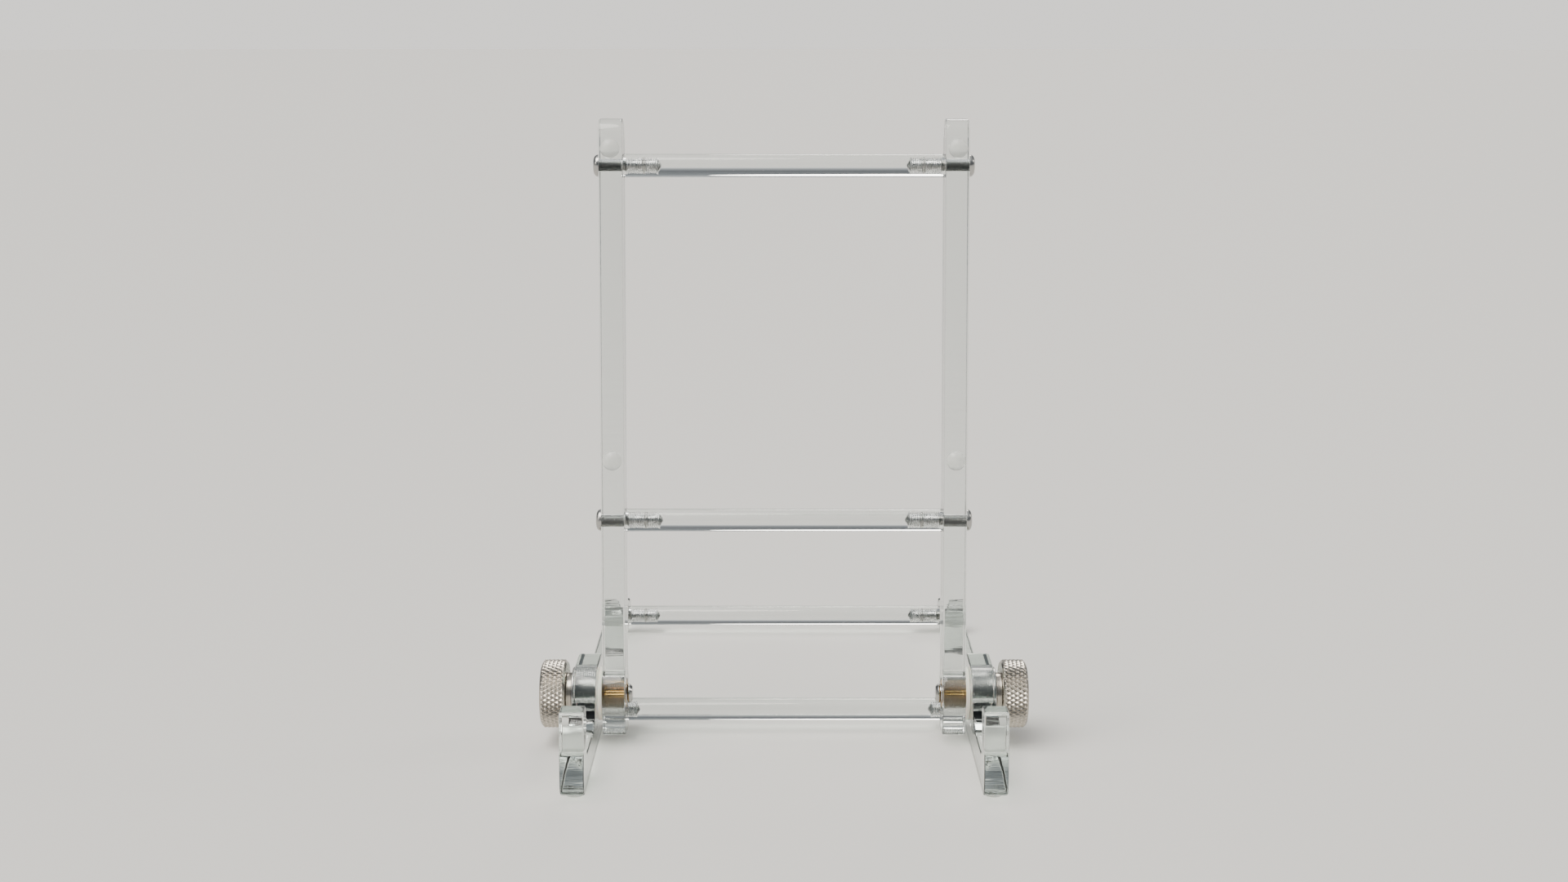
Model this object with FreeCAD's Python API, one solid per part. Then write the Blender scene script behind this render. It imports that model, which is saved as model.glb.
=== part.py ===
"""Adjustable clear plate display stand: two side rails with front lips, and a back frame that
tilts between them and is clamped by two thumb screws. Millimetres, +Z up, +Y to the back.
The origin is the centre of the footprint, on the surface that the stand rests on."""

import FreeCAD
import Part

import math
import os

from FreeCAD import Vector

# Overall
rail_spacing = 103.0  # between the middles of the two side rails
base_length = 140.0  # from the toes of the lips to the rear ends of the rails
upright_reach = 150.0  # from the hinge axis to the top of an upright
rest_tilt = 8.0  # degrees that the back frame leans back from vertical

# Clear sheet and rod
sheet = 6.0  # thickness of the cast sheet that rails and uprights are cut from
arris = 0.4  # polished rounding along the cut edges
rod_diameter = 6.0

# Side rails
foot_pad_height = 1.5
rail_height = 8.0
rail_end_flat = 1.2  # left between the two rounded corners of a rear end
toe_radius = 2.5
toe_height = 5.0  # upright part of the front end, under the leaning lip
toe_bend_radius = 14.0
lip_rise = 13.0  # from the seat to the top of the lip
lip_depth = 6.3
lip_lean = 8.0  # degrees back from vertical
lip_top_radius = 1.2
notch_radius = 2.6  # inner corner between lip and seat

# Hinge
hinge_from_front = 42.0
hinge_clearance = 0.7  # between eyes and stop rod, and between outer washers and its screws
ear_top_half = 9.0  # half the width of the ear at its top corners
ear_foot_half = 16.0  # half the width of the ear where it meets the rail
ear_above_hinge = 9.0
ear_top_radius = 7.0
ear_foot_radius = 6.0

# Uprights
upright_width = 10.0
upright_end_flat = 0.8  # left between the two rounded corners of the top
eye_wall = 3.5  # sheet left round the insert
tail_past_rod = 2.8  # from the middle of the stop rod to the end of the tail
tail_radius = 2.0

# Tie rods and cross rods
stop_clearance = 0.3  # left between the stop rod and the tail when the back frame is vertical
rear_rod_inset = 8.0  # from the rear ends of the rails
lower_rod_reach = 46.0  # along the uprights, from the hinge axis
upper_rod_below_top = 12.0

# Button head screws, M3
screw_diameter = 2.9
screw_length = 12.0
screw_tip_chamfer = 0.3
screw_head_diameter = 5.7
screw_head_height = 1.65
screw_rim_height = 0.4
screw_crown_diameter = 3.0  # flat on top of the head, round the socket
socket_across_flats = 2.0
socket_depth = 1.0
sheet_hole_clearance = 0.15  # on the radius, round a screw
tapped_hole_clearance = 0.05  # on the radius
drilled_past_screw = 3.0

# Thumb screws and washers
shoulder_diameter = 6.0
thread_diameter = 5.0
bore_clearance = 0.05  # on the radius, round the shoulder and the thread
washer_clearance = 0.2  # on the radius
thread_past_upright = 1.5
thread_chamfer = 0.6
insert_diameter = 8.0
insert_flange_gap = 0.02  # the insert stands this much inside each face of its upright
friction_washer_diameter = 14.0
friction_washer_thickness = 1.0
outer_washer_diameter = 14.0
outer_washer_thickness = 1.0
knob_diameter = 18.0
knob_length = 8.0
knob_edge = 0.8
knob_neck_diameter = 11.0
knob_neck_length = 1.5
knob_recess_diameter = 11.0
knob_recess_depth = 0.8
knob_wall_over_stud = 1.7
face_gap = 0.05  # between flat faces of pieces that turn on each other

# Silicone pads
pad_inset = 0.5  # pads and bumpers stay this far inside both faces of the sheet
foot_pad_length = 14.0
foot_pad_from_round = 0.6  # from where the rounding of a rail's end starts
notch_pad_thickness = 1.0
notch_pad_on_seat = 12.0
notch_pad_on_lip = 8.0
notch_pad_end_radius = 0.4
bumper_height = 1.8
bumper_rim = 0.5
upper_bumper_below_top = 8.0
lower_bumper_reach = 62.0

# Places that follow from the sizes above
front_y = -base_length / 2
rear_y = base_length / 2
rail_bottom = foot_pad_height
seat_z = rail_bottom + rail_height
rail_middle_z = rail_bottom + rail_height / 2
lip_top_z = seat_z + lip_rise
lip_slope = math.tan(math.radians(lip_lean))
lip_front_y = front_y + (lip_top_z - rail_bottom - toe_height) * lip_slope
lip_back_y = lip_front_y + lip_depth / math.cos(math.radians(lip_lean))
notch_corner_y = lip_back_y - lip_rise * lip_slope
hinge_y = front_y + hinge_from_front
eye_radius = insert_diameter / 2 + eye_wall
stop_rod_behind = upright_width / 2 + rod_diameter / 2 + stop_clearance
stop_rod_from_hinge = hinge_clearance + max(
    eye_radius + rod_diameter / 2, outer_washer_diameter / 2 + screw_head_diameter / 2
)
stop_rod_below = math.sqrt(stop_rod_from_hinge**2 - stop_rod_behind**2)
stop_rod_y = hinge_y + stop_rod_behind
hinge_z = rail_middle_z + stop_rod_below
hinge_point = Vector(0, hinge_y, hinge_z)
rail_inner_x = rail_spacing / 2 - sheet / 2
rail_outer_x = rail_spacing / 2 + sheet / 2
upright_outer_x = rail_inner_x - friction_washer_thickness - face_gap
upright_inner_x = upright_outer_x - sheet
knob_seat_x = rail_outer_x + outer_washer_thickness + face_gap
stud_in_knob = knob_length - knob_recess_depth - knob_wall_over_stud
tail_reach = stop_rod_below + tail_past_rod
rail_end_radius = (rail_height - rail_end_flat) / 2
upright_end_radius = (upright_width - upright_end_flat) / 2
rear_rod_y = rear_y - rear_rod_inset
upper_rod_reach = upright_reach - upper_rod_below_top
upper_bumper_reach = upright_reach - upper_bumper_below_top
sheet_hole_diameter = screw_diameter + 2 * sheet_hole_clearance
tapped_hole_diameter = screw_diameter + 2 * tapped_hole_clearance
tapped_hole_depth = screw_length - sheet + drilled_past_screw
pad_width = sheet - 2 * pad_inset
foot_pad_from_end = rail_end_radius + foot_pad_from_round + foot_pad_length / 2

X_AXIS = Vector(1, 0, 0)
LEFT, RIGHT = -1, 1
SIDES = (("left", LEFT), ("right", RIGHT))


def save(name, *solids):
    """Writes one node, of one or more solids."""
    shape = solids[0] if len(solids) == 1 else Part.makeCompound(list(solids))
    shape.exportStep(f"parts/{name}.step")


def rounded_outline(corners):
    """A closed wire in the YZ plane through corners (y, z, radius), each rounded by a tangent arc."""
    points = [Vector(0, y, z) for y, z, _ in corners]
    edges, starts, ends = [], [], []
    for i, (_, _, radius) in enumerate(corners):
        here = points[i]
        back = (points[i - 1] - here).normalize()
        ahead = (points[(i + 1) % len(points)] - here).normalize()
        half = back.getAngle(ahead) / 2
        reach = radius / math.tan(half)
        middle = (back + ahead).normalize() * (radius / math.sin(half) - radius)
        starts.append(here + back * reach)
        ends.append(here + ahead * reach)
        edges.append(Part.Arc(starts[-1], here + middle, ends[-1]).toShape())
    for i in range(len(corners)):
        edges.append(Part.LineSegment(ends[i - 1], starts[i]).toShape())
    return Part.Wire(Part.__sortEdges__(edges))


def cut_from_sheet(wire, x_low):
    """A flat piece of the sheet with the outline wire, its two faces at x_low and x_low + sheet."""
    face = Part.Face(wire)
    piece = face.extrude(Vector(sheet, 0, 0))
    piece.translate(Vector(x_low, 0, 0))
    return piece


def soften_cut_edges(piece):
    """Rounds the edges that the cut left round both faces of a flat piece."""
    faces = [f for f in piece.Faces if abs(abs(f.normalAt(0, 0).x) - 1) < 1e-6]
    edges = [e for f in faces for e in f.OuterWire.Edges]
    return piece.makeFillet(arris, edges)


def along_x(diameter, x_from, x_to, y, z):
    """A cylinder along X between two places."""
    low, high = min(x_from, x_to), max(x_from, x_to)
    return Part.makeCylinder(diameter / 2, high - low, Vector(low, y, z), X_AXIS)


def turned(profile, x, side, y, z):
    """A solid turned about the X axis from (distance, radius) points, distance counted from x, outwards."""
    points = [Vector(side * distance, 0, radius) for distance, radius in profile]
    wire = Part.makePolygon(points + points[:1])
    solid = Part.Face(wire).revolve(Vector(0, 0, 0), X_AXIS, 360)
    solid.translate(Vector(x, y, z))
    return solid if solid.Volume > 0 else solid.reversed()


def washer(outer, inner, x_from, x_to):
    """A flat ring on the hinge axis."""
    ring = along_x(outer, x_from, x_to, hinge_y, hinge_z)
    return ring.cut(along_x(inner, x_from, x_to, hinge_y, hinge_z))


def tilted(shape):
    """Leans a piece of the back frame, drawn upright, back to its place at rest."""
    leaning = shape.copy()
    leaning.rotate(hinge_point, X_AXIS, -rest_tilt)
    return leaning


def make_side_rail(side):
    """A side rail: seat, front lip, hinge ear, and holes for the thumb screw and the tie rods' screws."""
    ear_top_z = hinge_z + ear_above_hinge
    corners = [
        (rear_y, rail_bottom, rail_end_radius),
        (front_y, rail_bottom, toe_radius),
        (front_y, rail_bottom + toe_height, toe_bend_radius),
        (lip_front_y, lip_top_z, lip_top_radius),
        (lip_back_y, lip_top_z, lip_top_radius),
        (notch_corner_y, seat_z, notch_radius),
        (hinge_y - ear_foot_half, seat_z, ear_foot_radius),
        (hinge_y - ear_top_half, ear_top_z, ear_top_radius),
        (hinge_y + ear_top_half, ear_top_z, ear_top_radius),
        (hinge_y + ear_foot_half, seat_z, ear_foot_radius),
        (rear_y, seat_z, rail_end_radius),
    ]
    middle_x = side * rail_spacing / 2
    rail = soften_cut_edges(cut_from_sheet(rounded_outline(corners), middle_x - sheet / 2))
    through = (middle_x - sheet, middle_x + sheet)
    rail = rail.cut(along_x(shoulder_diameter + 2 * bore_clearance, *through, hinge_y, hinge_z))
    for y in (stop_rod_y, rear_rod_y):
        rail = rail.cut(along_x(sheet_hole_diameter, *through, y, rail_middle_z))
    return rail


def make_upright(side):
    """An upright of the back frame, drawn vertical: bar, eye round the hinge, and tail below it."""
    half = upright_width / 2
    top_z = hinge_z + upright_reach
    corners = [
        (hinge_y - half, hinge_z - tail_reach, tail_radius),
        (hinge_y - half, top_z, upright_end_radius),
        (hinge_y + half, top_z, upright_end_radius),
        (hinge_y + half, hinge_z - tail_reach, tail_radius),
    ]
    low_x = min(side * upright_inner_x, side * upright_outer_x)
    bar = cut_from_sheet(rounded_outline(corners), low_x)
    eye = along_x(2 * eye_radius, low_x, low_x + sheet, hinge_y, hinge_z)
    upright = soften_cut_edges(bar.fuse(eye).removeSplitter())
    upright = upright.cut(along_x(insert_diameter, low_x, low_x + sheet, hinge_y, hinge_z))
    for reach in (lower_rod_reach, upper_rod_reach):
        hole = along_x(sheet_hole_diameter, low_x, low_x + sheet, hinge_y, hinge_z + reach)
        upright = upright.cut(hole)
    return upright


def make_rod(half_length, y, z):
    """A clear rod between two flat pieces, with a tapped hole in each end."""
    rod = along_x(rod_diameter, -half_length, half_length, y, z)
    for side in (LEFT, RIGHT):
        end = side * half_length
        rod = rod.cut(along_x(tapped_hole_diameter, end, end - side * tapped_hole_depth, y, z))
    return rod


def make_screw(side, seat_x, y, z):
    """A button head screw whose head sits on the plane x = seat_x and points outwards."""
    head_radius = screw_head_diameter / 2
    crown = screw_crown_diameter / 2
    rise = screw_head_height - screw_rim_height
    dome = [
        (screw_rim_height + rise * math.sin(a), crown + (head_radius - crown) * math.cos(a))
        for a in (math.radians(15 * step) for step in range(7))
    ]
    shank = screw_diameter / 2
    profile = [(-screw_length, 0), (-screw_length, shank - screw_tip_chamfer)]
    profile += [(screw_tip_chamfer - screw_length, shank)]
    profile += [(0, shank), (0, head_radius)] + dome + [(screw_head_height, 0)]
    screw = turned(profile, seat_x, side, y, z)
    flats = Part.makePolygon(
        [
            Vector(0, math.cos(a), math.sin(a)) * (socket_across_flats / math.sqrt(3))
            for a in (math.radians(60 * step) for step in range(7))
        ]
    )
    socket = Part.Face(flats).extrude(Vector(side * -socket_depth, 0, 0))
    socket.translate(Vector(seat_x + side * screw_head_height, y, z))
    return screw.cut(socket)


def make_screw_pair(seat_x, y, z):
    """One screw at each side."""
    return [make_screw(side, side * seat_x, y, z) for side in (LEFT, RIGHT)]


def make_insert(side):
    """The threaded insert in an upright's eye."""
    outer = side * (upright_outer_x - insert_flange_gap)
    inner = side * (upright_inner_x + insert_flange_gap)
    return washer(insert_diameter, thread_diameter + 2 * bore_clearance, outer, inner)


def make_knob(side):
    """A turned knob outside the rail, bored for its stud and recessed in its outer face."""
    radius, neck, recess = knob_diameter / 2, knob_neck_diameter / 2, knob_recess_diameter / 2
    stud = shoulder_diameter / 2
    profile = [
        (0, stud),
        (0, neck),
        (knob_neck_length, neck),
        (knob_neck_length, radius - knob_edge),
        (knob_neck_length + knob_edge, radius),
        (knob_length - knob_edge, radius),
        (knob_length, radius - knob_edge),
        (knob_length, recess),
        (knob_length - knob_recess_depth, recess - knob_recess_depth),
        (knob_length - knob_recess_depth, 0),
        (stud_in_knob, 0),
        (stud_in_knob, stud),
    ]
    return turned(profile, side * knob_seat_x, side, hinge_y, hinge_z)


def make_stud(side):
    """The stud of a thumb screw: a plain shoulder through the rail, then the thread for the insert."""
    shoulder_end = upright_outer_x + face_gap
    thread_end = upright_inner_x - thread_past_upright
    shoulder, thread = shoulder_diameter / 2, thread_diameter / 2
    profile = [
        (stud_in_knob, 0),
        (stud_in_knob, shoulder),
        (shoulder_end - knob_seat_x, shoulder),
        (shoulder_end - knob_seat_x, thread),
        (thread_end + thread_chamfer - knob_seat_x, thread),
        (thread_end - knob_seat_x, thread - thread_chamfer),
        (thread_end - knob_seat_x, 0),
    ]
    return turned(profile, side * knob_seat_x, side, hinge_y, hinge_z)


def make_foot_pad(side, y_middle):
    """A pad with round ends under a rail."""
    half, radius = foot_pad_length / 2, pad_width / 2
    x = side * rail_spacing / 2
    middle = Part.makeBox(
        pad_width, foot_pad_length - pad_width, foot_pad_height,
        Vector(x - radius, y_middle - half + radius, 0),
    )
    for end in (-1, 1):
        centre = Vector(x, y_middle + end * (half - radius), 0)
        middle = middle.fuse(Part.makeCylinder(radius, foot_pad_height, centre))
    return middle.removeSplitter()


def make_notch_pad(side):
    """A pad bent into the corner between seat and lip."""
    corner_y = notch_corner_y
    thick, end = notch_pad_thickness, notch_pad_end_radius
    top_y = corner_y + notch_pad_on_lip * lip_slope
    corners = [
        (corner_y, seat_z, notch_radius),
        (corner_y + notch_pad_on_seat, seat_z, end),
        (corner_y + notch_pad_on_seat, seat_z + thick, end),
        (corner_y + thick * (1 + lip_slope), seat_z + thick, notch_radius - thick),
        (top_y + thick, seat_z + notch_pad_on_lip, end),
        (top_y, seat_z + notch_pad_on_lip, end),
    ]
    pad = Part.Face(rounded_outline(corners)).extrude(Vector(pad_width, 0, 0))
    pad.translate(Vector(side * rail_spacing / 2 - pad_width / 2, 0, 0))
    return pad


def make_bumper(side, reach):
    """A domed bumper on the front edge of an upright, drawn vertical."""
    radius, rise = pad_width / 2, bumper_height - bumper_rim
    sphere = (radius**2 + rise**2) / (2 * rise)
    x = side * (upright_inner_x + upright_outer_x) / 2
    face = Vector(x, hinge_y - upright_width / 2, hinge_z + reach)
    peg = Part.makeCylinder(radius, 2 * bumper_height, face, Vector(0, -1, 0))
    ball = Part.makeSphere(sphere, face - Vector(0, bumper_height - sphere, 0))
    return peg.common(ball)


os.makedirs("parts", exist_ok=True)

for name, side in SIDES:
    save(f"{name}_side_rail", make_side_rail(side))
    save(f"{name}_upright", tilted(make_upright(side)))
    save(f"{name}_insert", tilted(make_insert(side)))
    save(f"{name}_knob", make_knob(side))
    save(f"{name}_stud", make_stud(side))
    save(f"{name}_notch_pad", make_notch_pad(side))
    ring_hole = shoulder_diameter + 2 * washer_clearance
    inner_faces = (side * (rail_inner_x - friction_washer_thickness), side * rail_inner_x)
    outer_faces = (side * rail_outer_x, side * (rail_outer_x + outer_washer_thickness))
    save(f"{name}_friction_washer", washer(friction_washer_diameter, ring_hole, *inner_faces))
    save(f"{name}_outer_washer", washer(outer_washer_diameter, ring_hole, *outer_faces))

save("stop_rod", make_rod(rail_inner_x, stop_rod_y, rail_middle_z))
save("rear_tie_rod", make_rod(rail_inner_x, rear_rod_y, rail_middle_z))
save("stop_rod_screws", *make_screw_pair(rail_outer_x, stop_rod_y, rail_middle_z))
save("rear_tie_screws", *make_screw_pair(rail_outer_x, rear_rod_y, rail_middle_z))

for name, reach in (("lower", lower_rod_reach), ("upper", upper_rod_reach)):
    rod_z = hinge_z + reach
    save(f"{name}_cross_rod", tilted(make_rod(upright_inner_x, hinge_y, rod_z)))
    screws = make_screw_pair(upright_outer_x, hinge_y, rod_z)
    save(f"{name}_rod_screws", *[tilted(screw) for screw in screws])

for name, reach in (("lower", lower_bumper_reach), ("upper", upper_bumper_reach)):
    save(f"{name}_bumpers", *[tilted(make_bumper(side, reach)) for _, side in SIDES])

for name, y in (("front", front_y + foot_pad_from_end), ("rear", rear_y - foot_pad_from_end)):
    save(f"{name}_foot_pads", *[make_foot_pad(side, y) for _, side in SIDES])
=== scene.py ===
"""Clear plate display stand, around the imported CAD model. Metres, +Z up, -Y to the front.
The sections follow the order in which the stand is put together."""

import math

import bpy
import numpy as np
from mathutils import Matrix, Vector
from mathutils.geometry import tessellate_polygon


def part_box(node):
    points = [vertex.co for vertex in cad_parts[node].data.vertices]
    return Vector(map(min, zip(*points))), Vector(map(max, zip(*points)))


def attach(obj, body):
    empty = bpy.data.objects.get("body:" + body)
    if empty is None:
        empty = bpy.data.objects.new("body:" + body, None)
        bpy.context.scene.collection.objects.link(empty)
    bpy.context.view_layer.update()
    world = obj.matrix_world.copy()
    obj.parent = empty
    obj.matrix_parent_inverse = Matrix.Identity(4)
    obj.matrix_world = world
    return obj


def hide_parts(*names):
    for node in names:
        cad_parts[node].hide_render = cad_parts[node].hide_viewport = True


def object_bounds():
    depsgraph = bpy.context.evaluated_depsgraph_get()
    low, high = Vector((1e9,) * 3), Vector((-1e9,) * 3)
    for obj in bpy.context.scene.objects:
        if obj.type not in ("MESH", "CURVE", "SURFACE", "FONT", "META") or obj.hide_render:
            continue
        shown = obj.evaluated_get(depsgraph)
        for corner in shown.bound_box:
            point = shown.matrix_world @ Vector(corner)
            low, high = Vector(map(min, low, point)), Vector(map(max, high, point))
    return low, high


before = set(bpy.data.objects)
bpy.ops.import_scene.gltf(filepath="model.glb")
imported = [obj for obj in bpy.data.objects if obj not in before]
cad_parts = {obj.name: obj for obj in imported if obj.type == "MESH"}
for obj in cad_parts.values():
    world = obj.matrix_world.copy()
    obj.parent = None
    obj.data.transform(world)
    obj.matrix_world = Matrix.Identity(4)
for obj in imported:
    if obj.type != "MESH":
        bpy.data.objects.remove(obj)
cad_box = [list(corner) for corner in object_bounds()]
mm = 0.001

# ---- Camera ----
# At eye level for someone bending to the shelf: in front of the lips, looking a little down.

lip_to_camera = 415 * mm
camera_height = 182 * mm
lens = 42.0
aim_height = 75 * mm


def aim(holder, place, target):
    """Puts a camera or lamp at a place, looking at the target."""
    holder.location = place
    holder.rotation_euler = (Vector(target) - Vector(place)).to_track_quat("-Z", "Y").to_euler()
    bpy.context.scene.collection.objects.link(holder)


camera = bpy.data.objects.new("camera", bpy.data.cameras.new("camera"))
aim(camera, (0, cad_box[0][1] - lip_to_camera, camera_height), (0, 0, aim_height))
camera.data.lens = lens
camera.data.clip_start = 0.01
bpy.context.scene.camera = camera

# ---- Studio ----
# A pale table top under one very wide soft lamp, with three smaller ones, one at each side and one
# behind, whose streaks show the edges of clear pieces. All are far away, so the table is evenly
# lit. The studio is pale at the horizon and overhead, and darker between, which shows clear edges.


def linear(code):
    """A hex colour as linear red, green, blue and an alpha of 1."""
    srgb = np.array([int(code[i : i + 2], 16) for i in (1, 3, 5)]) / 255
    rgb = np.where(srgb <= 0.04045, srgb / 12.92, ((srgb + 0.055) / 1.055) ** 2.4)
    return (*rgb.tolist(), 1.0)


def put(tree, kind, inputs=(), **settings):
    """Adds a node of that kind. settings are its properties; inputs pairs each socket with a value
    or with the output that feeds it."""
    node = tree.nodes.new("ShaderNode" + kind)
    for name, value in settings.items():
        setattr(node, name, value)
    for name, value in dict(inputs).items():
        if isinstance(value, bpy.types.NodeSocket):
            tree.links.new(value, node.inputs[name])
        else:
            node.inputs[name].default_value = value
    return node


def new_material(name, **sockets):
    """A material with one Principled shader; sockets are its constant values, by plain names."""
    material = bpy.data.materials.new(name)
    material.use_nodes = True
    tree = material.node_tree
    shader = tree.nodes["Principled BSDF"]
    for socket, value in sockets.items():
        shader.inputs[socket.replace("_", " ")].default_value = value
    return material, tree, shader


table, tree, shader = new_material(
    "table top", Base_Color=linear("#D8D6D2"), Roughness=0.6, Specular_IOR_Level=0.1
)
fine = put(tree, "TexNoise", {"Scale": 900, "Detail": 3}).outputs["Fac"]
grain = put(tree, "Bump", {"Height": fine, "Strength": 0.03, "Distance": 0.1 * mm})
tree.links.new(grain.outputs[0], shader.inputs["Normal"])
table_radius = 30.0
bpy.ops.mesh.primitive_circle_add(vertices=96, radius=table_radius, fill_type="NGON")
floor = bpy.context.object
floor.name = "table_top"
floor.data.materials.append(table)

world = bpy.data.worlds.new("studio")
world.use_nodes = True
tree = world.node_tree
ray = put(tree, "TexCoord").outputs["Generated"]
height = put(tree, "SeparateXYZ", {0: ray}).outputs["Z"]
walls = put(tree, "ValToRGB", {"Fac": height})
walls.color_ramp.elements[0].position = 0.03
walls.color_ramp.elements[0].color = linear("#FAF7F2")
walls.color_ramp.elements[1].position = 1.0
walls.color_ramp.elements[1].color = linear("#D4D7DA")
for position, colour in ((0.1, "#A4A7AA"), (0.25, "#5C6064"), (0.6, "#7C8084")):
    walls.color_ramp.elements.new(position).color = linear(colour)
tree.links.new(walls.outputs["Color"], tree.nodes["Background"].inputs["Color"])
wall_strength = 1.27
tree.nodes["Background"].inputs["Strength"].default_value = wall_strength
bpy.context.scene.world = world

for name, towards, angle, strength in (
    ("lamp_above", (-0.5, -0.3, 1.2), 45, 3.8),
    ("lamp_left", (-1.0, -0.5, 0.55), 14, 0.5),
    ("lamp_right", (1.0, 0.25, 0.5), 12, 0.4),
    ("lamp_behind", (0.15, 1.0, 0.8), 18, 0.75),
):
    lamp = bpy.data.lights.new(name, "SUN")
    lamp.energy = strength
    lamp.angle = math.radians(angle)
    lamp.color = linear("#FFFAF3")[:3]
    aim(bpy.data.objects.new(name, lamp), towards, (0, 0, 0))

# ---- Side rails ----
# Two flat pieces of 6 mm clear cast acrylic sheet, each with a front lip and an ear for the hinge.
# They are cut by laser, and the cut edges are flame polished, so edges are rounded, slightly wavy
# and bright.

SIDES = (("left", -1), ("right", 1))
STEP = math.radians(6)  # of turn between points of a rounded corner
SMALL = 0.02 * mm  # left between pieces that touch, so that their faces stay apart
FLAT = 0.08 * mm  # from an edge to the points beside it, which keep the shading of a face flat
PITCH = 2.0 * mm  # between points along a straight run
arris = 0.4 * mm


def middle(node):
    """The middle of a CAD node's box."""
    low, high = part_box(node)
    return (low + high) / 2


def arc_points(centre, radius, start, turn, step=STEP):
    """Points and outward normals of an arc: centre + radius * (cos, sin) of evenly spaced angles.
    A negative turn is an inner corner, whose normals point at its centre."""
    angles = start + np.linspace(0, turn, max(3, math.ceil(abs(turn) / step) + 1))
    spokes = np.stack([np.cos(angles), np.sin(angles)], axis=1)
    return np.asarray(centre) + radius * spokes, spokes * np.sign(turn)


def rounded_corner(before, corner, after, radius, step=STEP):
    """The arc tangent to both sides of a corner: its centre lies one radius to the inside of the
    first side, radius * tan(half the turn) before the corner."""
    before, corner, after = (np.asarray(p, float) for p in (before, corner, after))
    ahead = (corner - before) / np.linalg.norm(corner - before)
    leave = (after - corner) / np.linalg.norm(after - corner)
    turn = math.atan2(ahead[0] * leave[1] - ahead[1] * leave[0], ahead @ leave)
    inward = np.array([-ahead[1], ahead[0]]) * math.copysign(1, turn)
    centre = corner - ahead * radius * math.tan(abs(turn) / 2) + inward * radius
    return arc_points(centre, radius, math.atan2(-inward[1], -inward[0]), turn, step)


def joined(arcs, closed=True, pitch=PITCH, near=FLAT):
    """Joins arcs by straight runs into one line of points and normals. A run gets a point just
    inside each end, which keeps its shading flat, and points a pitch apart between them. Arcs that
    touch share a point."""
    points, normals = [], []
    following = arcs[1:] + arcs[:1] if closed else arcs[1:]
    for (here, n_here), (there, _) in zip(arcs, following):
        gap = there[0] - here[-1]
        length = np.linalg.norm(gap)
        own = -1 if length < near / 8 else None
        points.append(here[:own])
        normals.append(n_here[:own])
        if length > 3 * near:
            inner = np.linspace(near, length - near, max(2, round(length / pitch)))
            points.append(here[-1] + gap * (inner / length)[:, None])
            outward = [gap[1] / length, -gap[0] / length]
            normals.append(np.repeat([outward], len(inner), axis=0))
    if not closed:
        points.append(arcs[-1][0])
        normals.append(arcs[-1][1])
    return np.concatenate(points), np.concatenate(normals)


def rounded_outline(corners, step=STEP):
    """A closed outline through corners (across, up, radius), in anticlockwise order."""
    places = [corner[:2] for corner in corners]
    count = len(corners)
    arcs = [
        rounded_corner(places[i - 1], places[i], places[(i + 1) % count], corners[i][2], step)
        for i in range(count)
    ]
    return joined(arcs)


def grid_faces(rows, columns, first=0, close_rows=False):
    """Quads between neighbouring points of a grid whose columns close into a ring."""
    bands = rows if close_rows else rows - 1
    row, column = np.meshgrid(np.arange(bands), np.arange(columns), indexing="ij")
    up, right = (row + 1) % rows, (column + 1) % columns
    corners = ((row, column), (row, right), (up, right), (up, column))
    quads = np.stack([r * columns + c for r, c in corners], axis=-1)
    return quads.reshape(-1, 4) + first


def add_piece(name, points, faces, materials, body, nodes, face_material=None, sharp=35):
    """Makes the mesh of one piece, smooth but for edges that turn more than sharp degrees, and puts
    it on its body in place of its CAD nodes."""
    mesh = bpy.data.meshes.new(name)
    mesh.from_pydata(np.asarray(points).tolist(), [], faces)
    if face_material is not None:
        mesh.polygons.foreach_set("material_index", np.asarray(face_material, np.int32))
    for material in materials:
        mesh.materials.append(material)
    mesh.shade_smooth()
    mesh.set_sharp_from_angle(angle=math.radians(sharp))
    mesh.validate()
    piece = bpy.data.objects.new(name, mesh)
    bpy.context.scene.collection.objects.link(piece)
    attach(piece, body)
    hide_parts(*nodes)
    return piece


def mark(piece, name, values):
    """Stores one number per point on the mesh, for its material to read."""
    attribute = piece.data.attributes.new(name, "FLOAT", "POINT")
    attribute.data.foreach_set("value", np.ascontiguousarray(values, np.float32).ravel())


def rings(line, normal, levels):
    """Copies of a line, one for each level (depth, pull): the line drawn in by pull along its
    normals, at that depth. Points are (depth, across, up)."""
    depth, pull = np.asarray(levels).T
    drawn = line[None] - normal[None] * pull[:, None, None]
    place = np.broadcast_to(depth[:, None, None], (*drawn.shape[:2], 1))
    return np.concatenate([place, drawn], axis=2).reshape(-1, 3)


hole_chamfer = 0.15 * mm
hole_step = math.radians(7.5)  # of turn between points round a hole


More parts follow.
